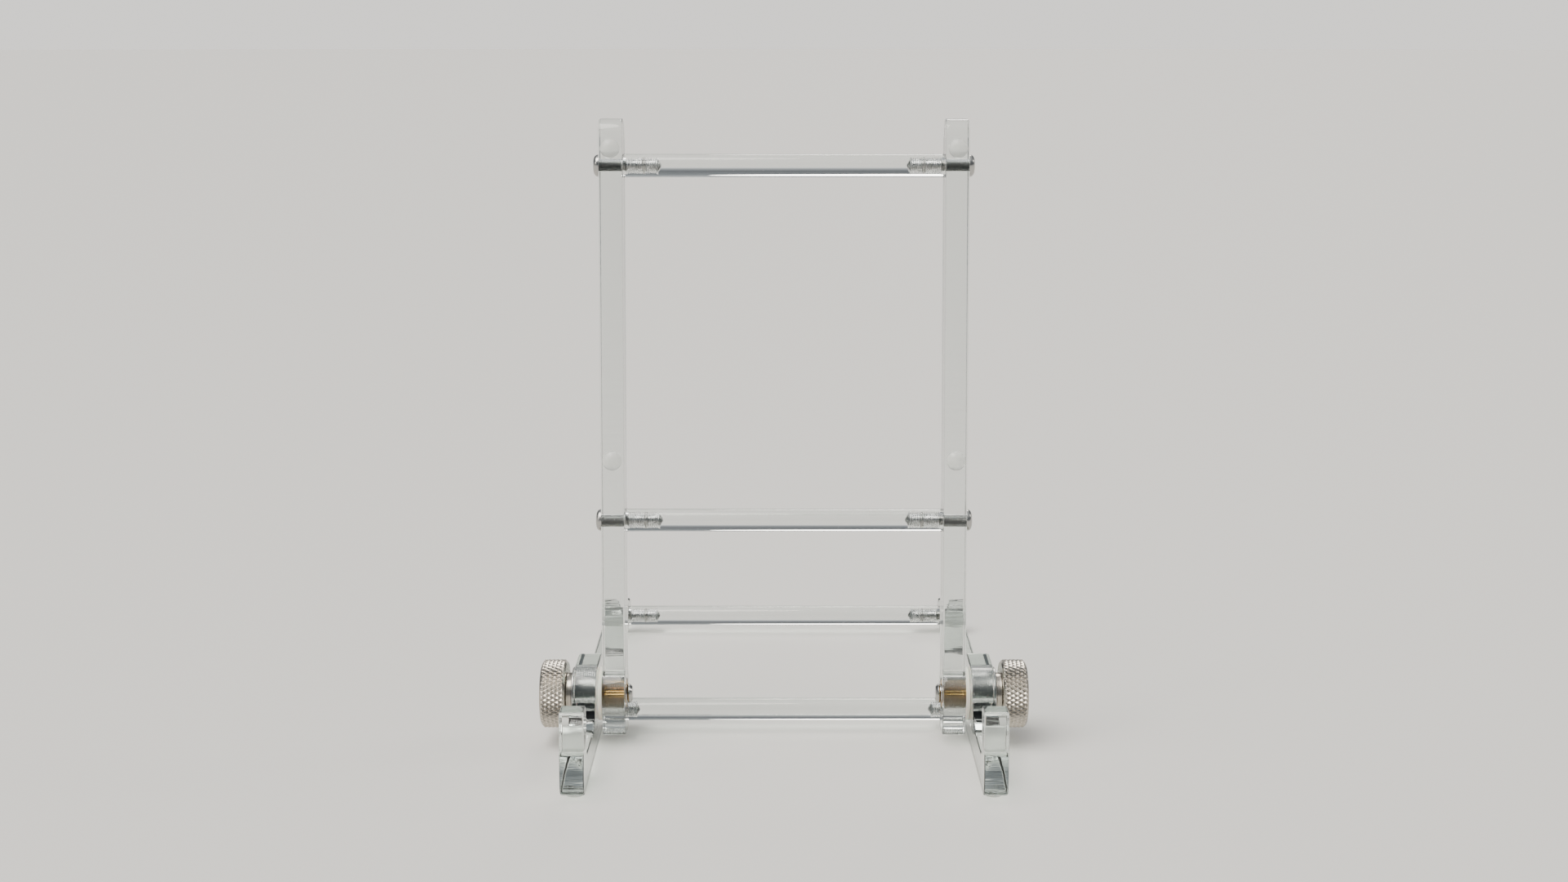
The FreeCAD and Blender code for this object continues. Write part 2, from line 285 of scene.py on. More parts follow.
def slab(outline, low, high, low_edge, high_edge, holes=()):
    """A flat piece between two depths. Its wall is the outline; over an edge of radius r it is
    drawn in by r * (1 - cos t) as it turns through t onto the face. Each hole (centre, diameter) is
    a ring of the same kind with a small chamfer, and triangles fill both faces between the rings.
    Also gives 1 for the faces of drilled walls, and 1 for the points of the cut edge."""
    line, normal = outline
    t = np.radians(np.arange(0, 91, 15))
    levels = [(low, low_edge + FLAT)]
    levels += [(low + low_edge * (1 - math.sin(a)), low_edge * (1 - math.cos(a))) for a in t[::-1]]
    levels += [(high - high_edge * (1 - math.sin(a)), high_edge * (1 - math.cos(a))) for a in t]
    levels += [(high, high_edge + FLAT)]
    points = [rings(line, normal, levels)]
    faces = [grid_faces(len(levels), len(line))]
    drilled = [np.zeros(len(faces[0]), int)]
    cut_edge = [np.repeat([float(0.9 * low_edge > pull) for _, pull in levels], len(line))]
    rim = np.arange(len(line))
    ends = [[rim, rim + (len(levels) - 1) * len(line)]]
    first = len(points[0])
    for centre, diameter in holes:
        round_hole = arc_points(centre, diameter / 2, 0, -2 * math.pi, hole_step)
        ring, inward = round_hole[0][:-1], round_hole[1][:-1]
        levels = [(low, hole_chamfer + FLAT), (low, hole_chamfer), (low + hole_chamfer, 0)]
        levels += [(high - hole_chamfer, 0), (high, hole_chamfer), (high, hole_chamfer + FLAT)]
        points.append(rings(ring, inward, levels))
        faces.append(grid_faces(len(levels), len(ring), first))
        drilled.append(np.ones(len(faces[-1]), int))
        cut_edge.append(np.zeros(len(points[-1])))
        rim = first + np.arange(len(ring))
        ends.append([rim, rim + (len(levels) - 1) * len(ring)])
        first += len(points[-1])
    points = np.concatenate(points)
    fills = []
    for loops, facing in zip(zip(*ends), (-1, 1)):
        corners = [[Vector(points[i]) for i in loop] for loop in loops]
        filled = np.concatenate(loops)[np.array(tessellate_polygon(corners))]
        a, b, c = points[filled[:, 0]], points[filled[:, 1]], points[filled[:, 2]]
        faces_out = np.cross(b - a, c - a)[:, 0].sum() * facing > 0
        fills.append(filled if faces_out else filled[:, ::-1])
    drilled += [np.zeros(len(filled), int) for filled in fills]
    faces = [row for block in faces + fills for row in block.tolist()]
    return points, faces, np.concatenate(drilled), np.concatenate(cut_edge)


def let_light_through(tree, shader):
    """Lets the lamps' light straight through a clear material, which would otherwise cast a solid
    shadow on what is inside or under it."""
    shadow = put(tree, "LightPath").outputs["Is Shadow Ray"]
    straight = put(tree, "BsdfTransparent", {"Color": linear("#E6EAE9")}).outputs[0]
    either = put(tree, "MixShader", {0: shadow, 1: shader.outputs[0], 2: straight}).outputs[0]
    tree.links.new(either, tree.nodes["Material Output"].inputs["Surface"])


def vary_roughness(tree, shader, pattern, between, roughness):
    """Roughness that goes from the first value to the second as a pattern crosses between."""
    (low, high), (smooth, rough) = between, roughness
    spread = {"From Min": low, "From Max": high, "To Min": smooth, "To Max": rough}
    result = put(tree, "MapRange", {"Value": pattern, **spread}).outputs["Result"]
    tree.links.new(result, shader.inputs["Roughness"])


def acrylic(name, roughness, tooled=0.0):
    """Clear cast acrylic. Faces are glossy with hairline wiping scratches and faint smears. Where
    cut_edge is 1 the flame has left slow waves, long through the sheet and about 1.5 mm apart along
    the edge. tooled walls are frosted, with rings 0.45 mm apart that a drill or tap leaves."""
    material, tree, shader = new_material(
        name, Base_Color=linear("#F5F7F6"), IOR=1.49, Transmission_Weight=1.0, Roughness=roughness
    )
    place = put(tree, "TexCoord").outputs["Object"]
    edge = put(tree, "Attribute", attribute_name="cut_edge").outputs["Fac"]
    smear = put(tree, "TexNoise", {"Vector": place, "Scale": 60, "Detail": 3}).outputs["Fac"]
    wiped = put(
        tree, "Mapping", {"Vector": place, "Rotation": (0.6, 0.2, 0.4), "Scale": (1, 14, 1)}
    ).outputs[0]
    hair = put(
        tree, "TexNoise", {"Vector": wiped, "Scale": 420, "Detail": 4, "Roughness": 0.7}
    ).outputs["Fac"]
    hairline = put(
        tree, "MapRange", {"Value": hair, "From Min": 0.66, "From Max": 0.74}
    ).outputs["Result"]
    vary_roughness(tree, shader, smear, (0.45, 0.75), (roughness, roughness + 0.035))
    beam = put(tree, "Mapping", {"Vector": place, "Scale": (0.12, 1, 1)}).outputs[0]
    waves = put(tree, "TexNoise", {"Vector": beam, "Scale": 700, "Detail": 2}).outputs["Fac"]
    flame = put(tree, "Math", {0: waves, 1: edge}, operation="MULTIPLY").outputs[0]
    scratched = put(
        tree, "Bump", {"Height": hairline, "Strength": 0.25, "Distance": 0.003 * mm}, invert=True
    ).outputs[0]
    waved = put(
        tree, "Bump", {"Height": flame, "Strength": 0.6, "Distance": 0.05 * mm, "Normal": scratched}
    ).outputs[0]
    if tooled:
        tool_marks = put(
            tree,
            "TexWave",
            {"Vector": place, "Scale": 700, "Distortion": 1.5, "Detail": 2},
            bands_direction="X",
        ).outputs["Fac"]
        waved = put(
            tree,
            "Bump",
            {"Height": tool_marks, "Strength": tooled, "Distance": 0.05 * mm, "Normal": waved},
        ).outputs[0]
    tree.links.new(waved, shader.inputs["Normal"])
    let_light_through(tree, shader)
    tint = put(tree, "VolumeAbsorption", {"Color": linear("#E8EDEB"), "Density": 40.0})
    tree.links.new(tint.outputs[0], tree.nodes["Material Output"].inputs["Volume"])
    return material


clear_acrylic = acrylic("clear cast acrylic", 0.012)
drilled_acrylic = acrylic("drilled cast acrylic", 0.3, tooled=0.6)
acrylic_pair = [clear_acrylic, drilled_acrylic]

hinge = middle("left_outer_washer")
stop_axis = middle("stop_rod")
rear_axis = middle("rear_tie_rod")
rail_low, rail_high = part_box("left_side_rail")
lip_angle = math.radians(8)
lip_lean = math.tan(lip_angle)
lip_depth = 6.3 * mm / math.cos(lip_angle)
rail_height = 8 * mm
toe_height = 5 * mm
seat = rail_low.z + rail_height
lip_front = rail_low.y + (rail_high.z - rail_low.z - toe_height) * lip_lean
lip_back = lip_front + lip_depth
notch = lip_back - (rail_high.z - seat) * lip_lean
ear_top = hinge.z + 9 * mm
ear_half_top, ear_half_foot = 9 * mm, 16 * mm
ear_rounding, ear_foot_rounding = 7 * mm, 6 * mm
notch_rounding, lip_rounding = 2.6 * mm, 1.2 * mm
toe_bend, toe_rounding = 14 * mm, 2.5 * mm
end_rounding = 3.4 * mm
shoulder_hole = 6.1 * mm
screw_hole = 3.2 * mm

rail_outline = rounded_outline(
    [
        (rail_high.y, seat, end_rounding),
        (hinge.y + ear_half_foot, seat, ear_foot_rounding),
        (hinge.y + ear_half_top, ear_top, ear_rounding),
        (hinge.y - ear_half_top, ear_top, ear_rounding),
        (hinge.y - ear_half_foot, seat, ear_foot_rounding),
        (notch, seat, notch_rounding),
        (lip_back, rail_high.z, lip_rounding),
        (lip_front, rail_high.z, lip_rounding),
        (rail_low.y, rail_low.z + toe_height, toe_bend),
        (rail_low.y, rail_low.z, toe_rounding),
        (rail_high.y, rail_low.z, end_rounding),
    ]
)
rail_holes = [
    ((hinge.y, hinge.z), shoulder_hole),
    ((stop_axis.y, stop_axis.z), screw_hole),
    ((rear_axis.y, rear_axis.z), screw_hole),
]


def sheet_piece(name, outline, holes, body, node):
    """A piece of the clear sheet, between the two faces of its CAD node."""
    low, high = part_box(node)
    points, faces, drilled, cut_edge = slab(outline, low.x, high.x, arris, arris, holes)
    piece = add_piece(name, points, faces, acrylic_pair, body, [node], drilled)
    mark(piece, "cut_edge", cut_edge)


for name, _ in SIDES:
    sheet_piece(f"{name}_rail", rail_outline, rail_holes, "base", f"{name}_side_rail")

# ---- Tie rods ----
# Two clear cast acrylic rods, 6 mm thick, hold the rails apart. Their ends are faced square on a
# lathe, drilled and tapped for M3, so the threaded holes look frosted inside the clear rod.

rod_radius = 3 * mm
rod_ease = 0.2 * mm
tap_depth, tap_mouth = 9 * mm, 0.7 * mm
countersink, countersink_ease = 1.6 * mm, 0.1 * mm
drill_point, drill_point_radius = 0.8 * mm, 0.2 * mm
thread_gap = 0.06 * mm  # between a screw's thread and its tapped hole
m3_pitch, m3_crest, m3_depth = 0.5 * mm, 1.45 * mm, 0.27 * mm
EASING = math.radians(22.5)  # of turn between points of an eased edge
COLUMNS = 48  # points round a turned piece
ROWS_TO_A_PITCH = 6


def eased(*corners, pitch=PITCH):
    """Rows (along, radius) through corners (along, radius, easing), all but the ends made arcs."""
    ends = [(np.array([corner[:2]]), np.zeros((1, 2))) for corner in (corners[0], corners[-1])]
    arcs = [
        rounded_corner(a[:2], b[:2], c[:2], b[2], EASING)
        for a, b, c in zip(corners, corners[1:], corners[2:])
    ]
    return joined([ends[0], *arcs, ends[1]], closed=False, pitch=pitch, near=FLAT / 2)[0]


def turn_of(columns):
    """The angle of each column round an axis."""
    return np.linspace(0, 2 * math.pi, columns, endpoint=False)


def ridge(phase):
    """A triangle wave of its phase: 1 at a crest and 0 at a root."""
    return 1 - np.abs(2 * (phase - np.floor(phase)) - 1)


def thread(start, stop, pitch, crest, depth, seat=0.0):
    """Rows of a screw thread: the radius is crest - depth * (1 - ridge of the phase), where the
    phase is (along - seat) / pitch less a turn's share of the angle. It fades in at both ends. Seen
    from the other end it has the same hand, so one formula serves both."""
    count = round(abs(stop - start) / pitch * ROWS_TO_A_PITCH) + 1
    along = np.linspace(start, stop, count)
    phase = (along[:, None] - seat) / pitch - turn_of(COLUMNS) / (2 * math.pi)
    fade = np.clip(np.minimum(np.abs(along - start), np.abs(stop - along)) / pitch, 0, 1)
    return along, crest - depth * fade[:, None] * (1 - ridge(phase))


def stacked(*parts, columns=COLUMNS):
    """Joins parts, each plain rows (along, radius) or a pair of along and radii round the axis, in
    order."""
    pairs = [(part[:, 0], part[:, 1:]) if isinstance(part, np.ndarray) else part for part in parts]
    around = [np.broadcast_to(radii, (len(radii), columns)) for _, radii in pairs]
    return np.concatenate([along for along, _ in pairs]), np.concatenate(around)


def turned(rows, origin, axis, across=(0, 1, 0), poles=True):
    """Rows carried round an axis. A point is origin + along * axis + radius * (across * cos a +
    (axis x across) * sin a). With poles, a point on the axis closes each end, and without them the
    last row joins the first. Also gives the way along the section, which is the path of the lathe
    tool."""
    along, radius = rows
    columns = radius.shape[1]
    angle = turn_of(columns)
    axis, across = np.asarray(axis, float), np.asarray(across, float)
    spokes = np.outer(np.cos(angle), across) + np.outer(np.sin(angle), np.cross(axis, across))
    grid = np.asarray(origin) + along[:, None, None] * axis + radius[..., None] * spokes[None]
    points = grid.reshape(-1, 3)
    faces = grid_faces(len(along), columns, close_rows=not poles).tolist()
    step = np.hypot(np.diff(along), np.diff(radius.mean(axis=1)))
    way = np.repeat(np.concatenate([[0], np.cumsum(step)]), columns)
    if poles:
        ring, ahead = np.arange(columns), (np.arange(columns) + 1) % columns
        last, top = (len(along) - 1) * columns, len(points)
        points = np.concatenate([points, grid[[0, -1]].mean(axis=1)])
        faces += np.stack([np.full(columns, top), ahead, ring], axis=1).tolist()
        faces += np.stack([np.full(columns, top + 1), last + ring, last + ahead], axis=1).tolist()
        way = np.concatenate([way, [way[0], way[-1]]])
    return points, faces, way


def rod(name, node, screw_seat, body):
    """A clear rod, tapped at both ends, where the thread keeps thread_gap round the screw's."""
    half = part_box(node)[1].x - SMALL
    deep, mouth = half - tap_depth, half - tap_mouth
    crest = m3_crest + thread_gap
    drill = np.array([(deep - drill_point, drill_point_radius), (deep, crest - m3_depth)])
    tapped = thread(deep, mouth, m3_pitch, crest, m3_depth, screw_seat)
    far_tapped = thread(-mouth, -deep, m3_pitch, crest, m3_depth, -screw_seat)
    shell = eased(
        (-mouth, crest, 0),
        (-half, countersink, countersink_ease),
        (-half, rod_radius, rod_ease),
        (half, rod_radius, rod_ease),
        (half, countersink, countersink_ease),
        (mouth, crest, 0),
        pitch=2 * PITCH,
    )
    rows = stacked(
        drill * (-1, 1),
        (far_tapped[0][::-1], far_tapped[1][::-1]),
        shell[1:-1],
        (tapped[0][::-1], tapped[1][::-1]),
        drill[::-1],
    )
    points, faces, _ = turned(rows, (0, *middle(node).yz), (1, 0, 0))
    inside = len(drill) + len(tapped[0])
    drilled = np.zeros(len(rows[0]) - 1, int)
    drilled[:inside] = drilled[-inside:] = 1
    drilled = np.concatenate([np.repeat(drilled, COLUMNS), np.ones(2 * COLUMNS, int)])
    add_piece(name, points, faces, acrylic_pair, body, [node], drilled)


tie_screw_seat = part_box("right_side_rail")[1].x
rod("front_tie_rod", "stop_rod", tie_screw_seat, "base")
rod("back_tie_rod", "rear_tie_rod", tie_screw_seat, "base")

# ---- Button head screws ----
# M3 button heads of stainless steel, turned, with a pressed hexagon socket, which hold the tie rods
# to the rails and the cross rods to the uprights. Steel this fine from the lathe is satin, with
# fine rings.

socket_half = 1.0 * mm
socket_depth = 1.0 * mm
socket_flare, socket_taper = 1.07, 0.95  # of the flats, at the mouth and at the bottom
head_radius, head_height, head_rim = 2.85 * mm, 1.65 * mm, 0.45 * mm
crown_radius = 1.5 * mm
neck_under_head = 1.3 * mm
screw_length = 12 * mm
screw_tip, screw_lead = 1.0 * mm, 0.35 * mm


def vary_colour(tree, shader, pattern, colour, other):
    """A base colour that goes from one colour to the other as the pattern rises from 0 to 1."""
    colours = {"A": linear(colour), "B": linear(other)}
    shade = put(tree, "Mix", {"Factor": pattern, **colours}, data_type="RGBA")
    tree.links.new(shade.outputs["Result"], shader.inputs["Base Color"])


def turned_metal(name, colour, crest_colour, roughness, groove):
    """Bare metal from a lathe: fine rings across tool_path, each about a groove apart, smears from
    handling, and where a crest attribute says so, lighter crests over roots darkened as painted
    shade."""
    material, tree, shader = new_material(name, Metallic=1.0, Roughness=roughness)
    place = put(tree, "TexCoord").outputs["Object"]
    way = put(tree, "Attribute", attribute_name="tool_path").outputs["Fac"]
    ring = put(
        tree, "TexNoise", {"W": way, "Scale": 1 / groove, "Detail": 2}, noise_dimensions="1D"
    ).outputs["Fac"]
    smear = put(tree, "TexNoise", {"Vector": place, "Scale": 320, "Detail": 3}).outputs["Fac"]
    vary_roughness(tree, shader, smear, (0.35, 0.7), (roughness - 0.05, roughness + 0.08))
    crest = put(tree, "Attribute", attribute_name="crest").outputs["Fac"]
    blotch = put(
        tree, "MapRange", {"Value": smear, "From Min": 0.3, "From Max": 0.8, "To Max": 0.35}
    ).outputs["Result"]
    # Lighter on crests, which leaves painted shade in the roots, and lighter in the handling
    # smears.
    rubbed = put(tree, "Math", {0: crest, 1: blotch}, operation="ADD", use_clamp=True).outputs[0]
    vary_colour(tree, shader, rubbed, colour, crest_colour)
    grooves = put(tree, "Bump", {"Height": ring, "Strength": 0.35, "Distance": 0.01 * mm})
    tree.links.new(grooves.outputs[0], shader.inputs["Normal"])
    return material


stainless = turned_metal("turned stainless steel", "#A9A8A5", "#BDBCB9", 0.24, 0.09 * mm)


def hexagon(half_flats):
    """A hexagon's radius at each column: half_flats / cos(angle from the nearest flat)."""
    angle = turn_of(COLUMNS)
    return half_flats / np.cos((angle + math.pi / 6) % (math.pi / 3) - math.pi / 6)


def screw_rows():
    """A button head screw from tip to socket. along is 0 under the head and grows outwards, and the
    dome is a quarter of an ellipse from the rim to the flat crown."""
    end = -screw_length
    tip = eased(
        (end, screw_tip, 0),
        (end + screw_lead, m3_crest, 0.05 * mm),
        (end + 0.6 * mm, m3_crest, 0),
    )
    shank = thread(end + 0.65 * mm, -0.7 * mm, m3_pitch, m3_crest, m3_depth)
    under = eased(
        (-0.6 * mm, m3_crest, 0),
        (-0.4 * mm, neck_under_head, 0.05 * mm),
        (SMALL, neck_under_head, 0.1 * mm),
        (SMALL, head_radius, 0.12 * mm),
        (head_rim, head_radius, 0),
    )
    t = np.radians(np.arange(10, 91, 10))
    up = head_rim + (head_height - head_rim) * np.sin(t)
    out = crown_radius + (head_radius - crown_radius) * np.cos(t)
    dome = np.stack([up, out], axis=1)
    crown = np.array([(head_height, 1.38 * mm)])
    bottom = head_height - socket_depth
    socket = np.array([head_height, head_height - 0.06 * mm, bottom + 0.05 * mm, bottom])
    flats = np.stack([hexagon(socket_half * k) for k in (socket_flare, 1, 1, socket_taper)])
    return stacked(tip, shank, under, dome, crown, (socket, flats))


def merged(parts):
    """Several (points, faces) put together as one mesh."""
    points, faces, first = [], [], 0
    for places, rows in parts:
        points.append(places)
        faces += [[i + first for i in row] for row in rows]
        first += len(places)
    return np.concatenate(points), faces


def screw_pair(name, node, seat, body):
    """The screws of one rod, one at each side, each on its own seat."""
    rows = screw_rows()
    screws = [turned(rows, (side * seat, *middle(node).yz), (side, 0, 0)) for _, side in SIDES]
    points, faces = merged([screw[:2] for screw in screws])
    piece = add_piece(name, points, faces, [stainless], body, [node])
    mark(piece, "tool_path", np.concatenate([way for _, _, way in screws]))


screw_pair("front_tie_screws", "stop_rod_screws", tie_screw_seat, "base")
screw_pair("back_tie_screws", "rear_tie_screws", tie_screw_seat, "base")

# ---- Pads ----
# Clear silicone, cut and moulded with an adhesive back: a foot under each end of each rail, and a
# strip bent into each notch, where the plate's rim stands. Silicone is soft, faintly cloudy and
# gathers dust.

foot_radius = 2.5 * mm
foot_ease, foot_back_ease = 0.35 * mm, 0.15 * mm


def silicone(name):
    """Clear silicone: dull gloss, a little cloudy, with a soft uneven skin that dust has dulled."""
    material, tree, shader = new_material(
        name, Base_Color=linear("#F4F5F2"), IOR=1.41, Transmission_Weight=0.7, Roughness=0.2
    )
    place = put(tree, "TexCoord").outputs["Object"]
    dust = put(tree, "TexNoise", {"Vector": place, "Scale": 700, "Detail": 2}).outputs["Fac"]
    vary_roughness(tree, shader, dust, (0.4, 0.75), (0.12, 0.24))
    skin = put(tree, "TexNoise", {"Vector": place, "Scale": 400, "Detail": 1}).outputs["Fac"]
    soft = put(tree, "Bump", {"Height": skin, "Strength": 0.2, "Distance": 0.05 * mm})
    tree.links.new(soft.outputs[0], shader.inputs["Normal"])
    let_light_through(tree, shader)
    cloud = put(tree, "VolumeAbsorption", {"Color": linear("#DDE0DC"), "Density": 60.0})
    tree.links.new(cloud.outputs[0], tree.nodes["Material Output"].inputs["Volume"])
    return material


clear_silicone = silicone("clear silicone")


def foot_pads(name, node):
    """Two pads with round ends: two half circles joined by straight runs, eased at the bottom."""
    low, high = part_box(node)
    parts = []
    for across in (low.x + foot_radius, high.x - foot_radius):
        ends = [
            arc_points((across, low.y + foot_radius), foot_radius, math.pi, math.pi),
            arc_points((across, high.y - foot_radius), foot_radius, 0, math.pi),
        ]
        pad = slab(joined(ends), low.z, high.z - SMALL, foot_ease, foot_back_ease)
        parts.append((pad[0][:, [1, 2, 0]], pad[1]))
    points, faces = merged(parts)
    add_piece(name, points, faces, [clear_silicone], "base", [node])


foot_pads("front_feet", "front_foot_pads")
foot_pads("back_feet", "rear_foot_pads")

pad_thickness = 1.0 * mm
pad_on_seat, pad_on_lip = 12 * mm, 8 * mm
pad_back = notch + SMALL
pad_under = seat + SMALL
pad_lean = pad_on_lip * lip_lean
pad_ease = 0.2 * mm
glued_end, free_end = 0.3 * mm, 0.4 * mm  # radii at the ends of the strip
notch_pad_outline = rounded_outline(
    [
        (pad_back, pad_under, notch_rounding),
        (notch + pad_on_seat, pad_under, glued_end),
        (notch + pad_on_seat, seat + pad_thickness, free_end),
        (
            notch + pad_thickness * (1 + lip_lean),
            seat + pad_thickness,
            notch_rounding - pad_thickness,
        ),
        (notch + pad_lean + pad_thickness, seat + pad_on_lip, free_end),
        (pad_back + pad_lean, seat + pad_on_lip, glued_end),
    ]
)
for name, _ in SIDES:
    node = f"{name}_notch_pad"
    low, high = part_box(node)
    points, faces, _, _ = slab(notch_pad_outline, low.x, high.x, pad_ease, pad_ease)
    add_piece(
        f"{name}_rim_pad", points, faces, [clear_silicone], "base", [node]
    )

# ---- Washers ----
# Inside each rail a natural nylon washer, which the back frame rubs on and which holds its tilt,
# and outside a pressed stainless washer under the knob. Nylon is milky and waxy. The steel has
# soft pressed edges.

washer_radius, washer_bore_radius = 7 * mm, 3.2 * mm
nylon_ease, steel_ease = 0.15 * mm, 0.2 * mm


def nylon(name):
    """Natural nylon: milky, waxy and lit a little from within, with fine rings where it rubs."""
    material, tree, shader = new_material(
        name, Roughness=0.42, IOR=1.53, Subsurface_Weight=0.35, Subsurface_Scale=0.001
    )
    place = put(tree, "TexCoord").outputs["Object"]
    mottle = put(tree, "TexNoise", {"Vector": place, "Scale": 500, "Detail": 3}).outputs["Fac"]
    vary_colour(tree, shader, mottle, "#E4DFD0", "#EFECE2")
    way = put(tree, "Attribute", attribute_name="tool_path").outputs["Fac"]
    rubbed = put(
        tree, "TexNoise", {"W": way, "Scale": 9000, "Detail": 2}, noise_dimensions="1D"
    ).outputs["Fac"]
    lines = put(tree, "Bump", {"Height": rubbed, "Strength": 0.3, "Distance": 0.01 * mm})
    tree.links.new(lines.outputs[0], shader.inputs["Normal"])
    return material


natural_nylon = nylon("natural nylon")


def washer(name, node, ease, material):
    """A flat ring: a rounded rectangle carried round the hinge axis."""
    low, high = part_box(node)
    section, _ = rounded_outline(
        [
            (low.x + SMALL, washer_bore_radius, ease / 2),
            (high.x - SMALL, washer_bore_radius, ease / 2),
            (high.x - SMALL, washer_radius, ease),
            (low.x + SMALL, washer_radius, ease),
        ],
        EASING,
    )
    rows = stacked(section[::-1])
    points, faces, way = turned(rows, (0, hinge.y, hinge.z), (1, 0, 0), poles=False)
    piece = add_piece(name, points, faces, [material], "base", [node])
    mark(piece, "tool_path", way)


for name, _ in SIDES:
    washer(f"{name}_nylon_washer", f"{name}_friction_washer", nylon_ease, natural_nylon)
    washer(
        f"{name}_steel_washer", f"{name}_outer_washer", steel_ease, stainless
    )

# ---- Uprights ----
# Two bars of the same clear sheet, with a round eye at the hinge and a short tail below it that
# stops on the front tie rod. They lean back at rest, and a brass insert sits in each eye.

half_width = 5 * mm
eye_radius = 7.5 * mm
cutter = 1.0 * mm  # radius that the cutter leaves between eye and bar
tail_reach = hinge.z - stop_axis.z + 2.8 * mm
upright_reach = 150 * mm
foot_rounding, top_rounding = 2 * mm, 4.6 * mm
lower_rod, upper_rod = middle("lower_cross_rod"), middle("upper_cross_rod")
tilt = math.atan2(upper_rod.y - lower_rod.y, upper_rod.z - lower_rod.z)
ALONG = np.array([math.sin(tilt), math.cos(tilt)])
ACROSS = np.array([math.cos(tilt), -math.sin(tilt)])


def leaning(line, normal):
    """Turns an outline (across, along the bar) to the tilt of the back frame, about the hinge."""
    turn = np.array([ACROSS, ALONG])
    return line @ turn + (hinge.y, hinge.z), normal @ turn


def eye_side(turned_round):
    """The arcs up one side of the eye: a cutter's corner, the eye, and a cutter's corner. A
    corner's circle touches bar and eye, so its centre is half_width + cutter across and
    eye_radius + cutter from the hinge. The other side is the same arcs turned half round."""
    across = half_width + cutter
    along = math.sqrt((eye_radius + cutter) ** 2 - across**2)
    lean = math.atan2(along, across)
    arcs = [
        arc_points((across, -along), cutter, math.pi, -lean),
        arc_points((0, 0), eye_radius, -lean, 2 * lean),
        arc_points((across, along), cutter, math.pi + lean, -lean),
    ]
    return [(-points, -normals) for points, normals in arcs] if turned_round else arcs


foot_left, foot_right = (-half_width, -tail_reach), (half_width, -tail_reach)
top_right, top_left = (half_width, upright_reach), (-half_width, upright_reach)
upright_outline = leaning(
    *joined(
        [
            rounded_corner(top_left, foot_left, foot_right, foot_rounding),
            rounded_corner(foot_left, foot_right, top_right, foot_rounding),
            *eye_side(False),
            rounded_corner(foot_right, top_right, top_left, top_rounding),
            rounded_corner(top_right, top_left, foot_left, top_rounding),
            *eye_side(True),
        ]
    )
)
insert_hole = 8 * mm
upright_holes = [
    ((hinge.y, hinge.z), insert_hole),
    ((lower_rod.y, lower_rod.z), screw_hole),
    ((upper_rod.y, upper_rod.z), screw_hole),
]
for name, _ in SIDES:
    sheet_piece(
        f"{name}_back_bar", upright_outline, upright_holes, "back_frame", f"{name}_upright"
    )

# ---- Inserts ----
# Turned brass, knurled with straight flutes and pressed into each eye, with a fine lead at both
# ends. The thumb screw's thread runs in it. Brass shows warm through the clear eye.

flutes, flute_depth = 36, 0.22 * mm
FLUTED = flutes * 6  # columns
insert_radius, insert_bore_radius = 3.95 * mm, 2.55 * mm
insert_lead = 0.45 * mm
end_radius = insert_radius - insert_lead - 0.1 * mm
brass = turned_metal("turned brass", "#B58B45", "#D2AE6C", 0.25, 0.08 * mm)
for name, _ in SIDES:
    node = f"{name}_insert"
    low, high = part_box(node)
    half = (high.x - low.x) / 2
    along = np.linspace(-half, half, 32)
    from_end = half - np.abs(along)
    envelope = insert_radius - np.clip(insert_lead - from_end, 0, insert_lead)
    flute = insert_radius - flute_depth * (1 - ridge(turn_of(FLUTED) * flutes / (2 * math.pi)))
    fluted = np.minimum(envelope[:, None], flute[None])
    back = eased(
        (half, end_radius, 0),
        (half, insert_bore_radius, 0.15 * mm),
        (-half, insert_bore_radius, 0.15 * mm),
        (-half, end_radius, 0),
    )
    rows = stacked((along, fluted), back, columns=FLUTED)
    points, faces, way = turned(rows, middle(node), (1, 0, 0), poles=False)
    piece = add_piece(
        f"{name}_brass_insert", points, faces, [brass], "back_frame", [node]
    )
    # crest is 1 on the flute tops and 0 in the grooves, where the material paints shade.
    crest = np.zeros(rows[1].shape)
    crest[: len(along)] = np.clip((fluted - insert_radius) / (0.4 * flute_depth) + 1, 0, 1)
    mark(piece, "tool_path", way)
    mark(piece, "crest", crest)

# ---- Cross rods ----
# Two more clear rods, made as the tie rods are, which hold the uprights apart. The same M3 button
# heads hold them from outside.

bar_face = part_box("right_upright")[1].x
for name in ("lower", "upper"):
    rod(f"{name}_cross_bar", f"{name}_cross_rod", bar_face, "back_frame")
    screw_pair(f"{name}_bar_screws", f"{name}_rod_screws", bar_face, "back_frame")

# ---- Bumpers ----
# Small clear silicone domes stuck on the front of the uprights, which the back of the plate leans
# on. They are cast, so the dome is smooth, and flat where it sticks.

bumper_radius, bumper_height, bumper_rim = 2.5 * mm, 1.8 * mm, 0.5 * mm
dome_rise = bumper_height - bumper_rim
dome_radius = (bumper_radius**2 + dome_rise**2) / (2 * dome_rise)
lower_reach, below_top = 62 * mm, 8 * mm
bar_middle = middle("right_upright").x


def bumper_pair(name, node, reach):
    """Domes: a short round rim, then the cap of a ball of dome_radius, whose top stands
    bumper_height off the bar."""
    b = np.linspace(math.asin(bumper_radius / dome_radius), 0.06, 12)
    off_bar = bumper_height - dome_radius * (1 - np.cos(b))
    dome = np.stack([off_bar, dome_radius * np.sin(b)], axis=1)
    foot = eased(
        (SMALL, 0.3 * mm, 0),
        (SMALL, bumper_radius, 0.15 * mm),
        (bumper_rim - SMALL, bumper_radius, 0),
    )
    place = np.array([hinge.y, hinge.z]) + ALONG * reach - ACROSS * half_width
    parts = [
        turned(stacked(foot, dome), (side * bar_middle, *place), (0, *-ACROSS), (1, 0, 0))[:2]
        for _, side in SIDES
    ]
    points, faces = merged(parts)
    add_piece(
        name, points, faces, [clear_silicone], "back_frame", [node], sharp=50
    )


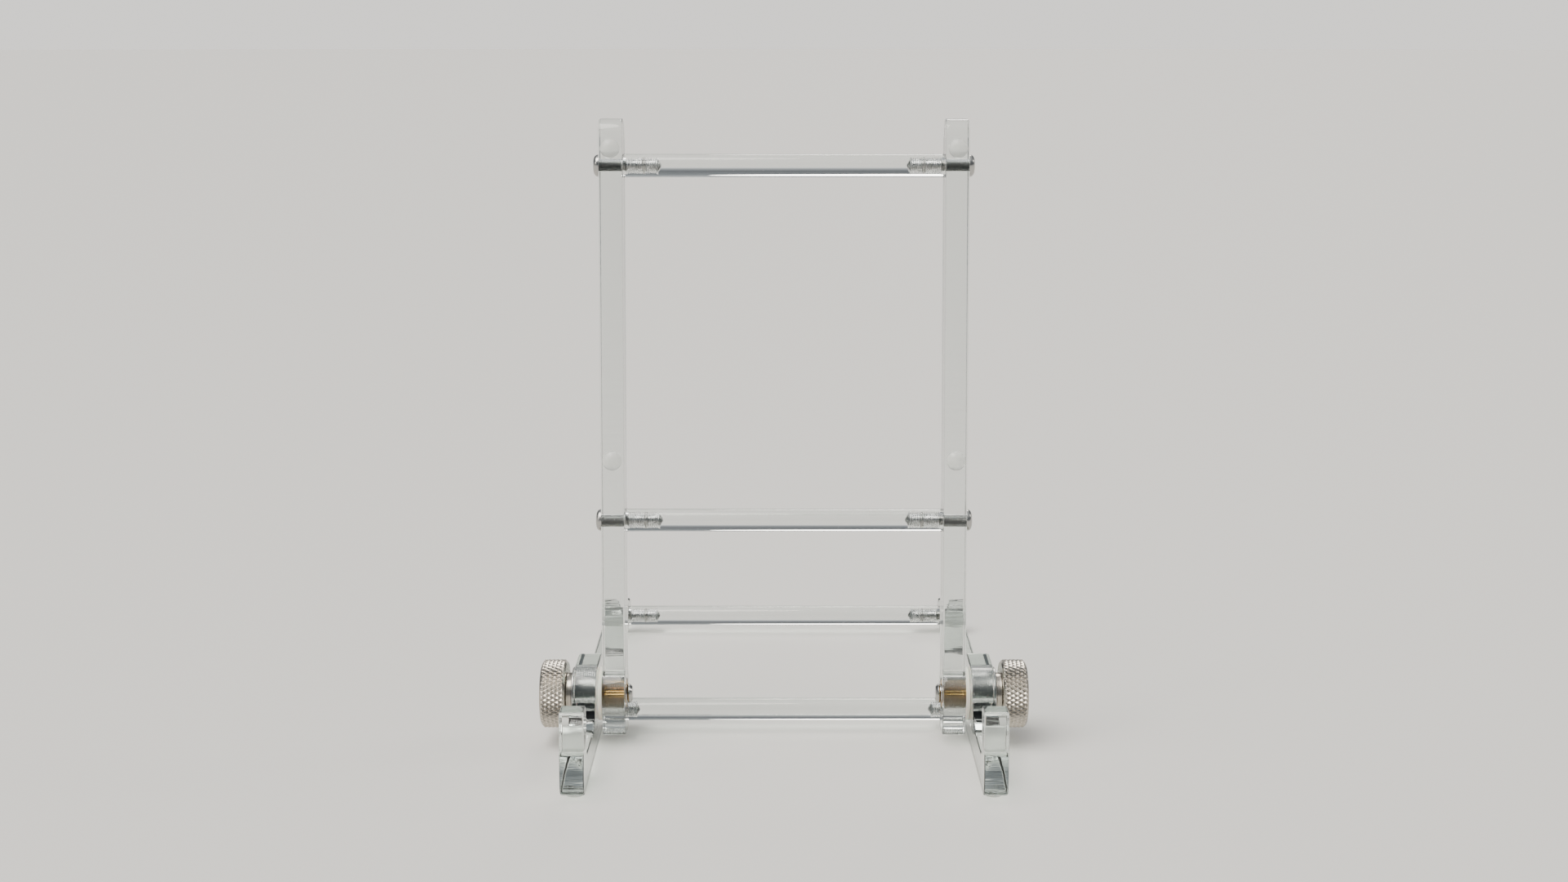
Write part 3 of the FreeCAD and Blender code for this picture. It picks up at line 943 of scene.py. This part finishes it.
bumper_pair("lower_domes", "lower_bumpers", lower_reach)
bumper_pair("upper_domes", "upper_bumpers", upright_reach - below_top)

# ---- Thumb screws ----
# Turned brass knobs with a diamond knurl and a dished face, satin nickel plated and pressed on a
# stainless M5 stud. One clamps the upright on its nylon washer. The roots of its knurl are painted
# darker than the crests, as painted shade.

knob_radius, knob_length, knob_edge = 8.99 * mm, 8 * mm, 0.8 * mm
neck_radius, neck_length = 5.5 * mm, 1.5 * mm
dish_radius, dish_depth = 5.5 * mm, 0.8 * mm
knurl_teeth, knurl_depth, knurl_lead = 47, 0.45 * mm, 2.08 * mm
KNURLED = knurl_teeth * 8  # columns
shoulder_radius, shoulder_ease = 3 * mm, 0.15 * mm
m5_pitch, m5_crest, m5_depth = 0.8 * mm, 2.5 * mm, 0.43 * mm
stud_tip, stud_lead = 1.9 * mm, 0.6 * mm
nickel = turned_metal("satin nickel plate", "#A9A297", "#D8D1C6", 0.22, 0.1 * mm)
knob_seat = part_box("right_knob")[0].x
thread_end, stud_end = (corner.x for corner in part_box("right_stud"))
shoulder_end = bar_face + 0.05 * mm

bore_end = stud_end - knob_seat + SMALL
bore = shoulder_radius + SMALL
face_radius = knob_radius - knob_edge - 0.15 * mm
behind = eased(
    (bore_end, 0.3 * mm, 0),
    (bore_end, bore, 0.1 * mm),
    (0, bore, 0.15 * mm),
    (0, neck_radius, 0.2 * mm),
    (neck_length, neck_radius, 0.3 * mm),
    (neck_length, face_radius, 0),
)
in_front = eased(
    (knob_length, face_radius, 0),
    (knob_length, dish_radius, 0.12 * mm),
    (knob_length - dish_depth, dish_radius - dish_depth, 0.3 * mm),
    (knob_length - dish_depth, 0.3 * mm, 0),
)
along = np.linspace(neck_length, knob_length, 56)
from_end = np.minimum(along - neck_length, knob_length - along)
envelope = knob_radius - np.clip(knob_edge - from_end, 0, knob_edge)
tooth = turn_of(KNURLED) * knurl_teeth / (2 * math.pi)
lead = along[:, None] / knurl_lead
diamond = np.minimum(ridge(tooth + lead), ridge(tooth - lead))
knurled = np.minimum(envelope[:, None], knob_radius - knurl_depth * (1 - diamond))
knob_rows = stacked(behind, (along, knurled), in_front, columns=KNURLED)
# 1 on the knurl's crests and 0 in its roots, where the material paints shade.
knob_painted_shade = np.zeros(knob_rows[1].shape)
knob_painted_shade[len(behind) : len(behind) + len(along)] = np.clip(diamond * 2.2 - 1, 0, 1)

stud_rows = stacked(
    eased(
        (thread_end, stud_tip, 0),
        (thread_end + stud_lead, m5_crest, 0.05 * mm),
        (thread_end + 0.7 * mm, m5_crest, 0),
    ),
    thread(thread_end + 0.75 * mm, shoulder_end - 0.6 * mm, m5_pitch, m5_crest, m5_depth),
    eased(
        (shoulder_end - 0.5 * mm, m5_crest, 0),
        (shoulder_end, m5_crest, 0.1 * mm),
        (shoulder_end, shoulder_radius, shoulder_ease),
        (stud_end, shoulder_radius, shoulder_ease),
        (stud_end, 0.3 * mm, 0),
    ),
)
for name, side in SIDES:
    body = f"{name}_thumb_screw"
    points, faces, way = turned(knob_rows, (side * knob_seat, hinge.y, hinge.z), (side, 0, 0))
    piece = add_piece(
        f"{name}_knurled_knob", points, faces, [nickel], body, [f"{name}_knob"]
    )
    mark(piece, "tool_path", way)
    mark(piece, "crest", np.concatenate([knob_painted_shade.ravel(), [0, 0]]))
    points, faces, way = turned(stud_rows, (0, hinge.y, hinge.z), (side, 0, 0))
    piece = add_piece(
        f"{name}_steel_stud", points, faces, [stainless], body, [f"{name}_stud"]
    )
    mark(piece, "tool_path", way)
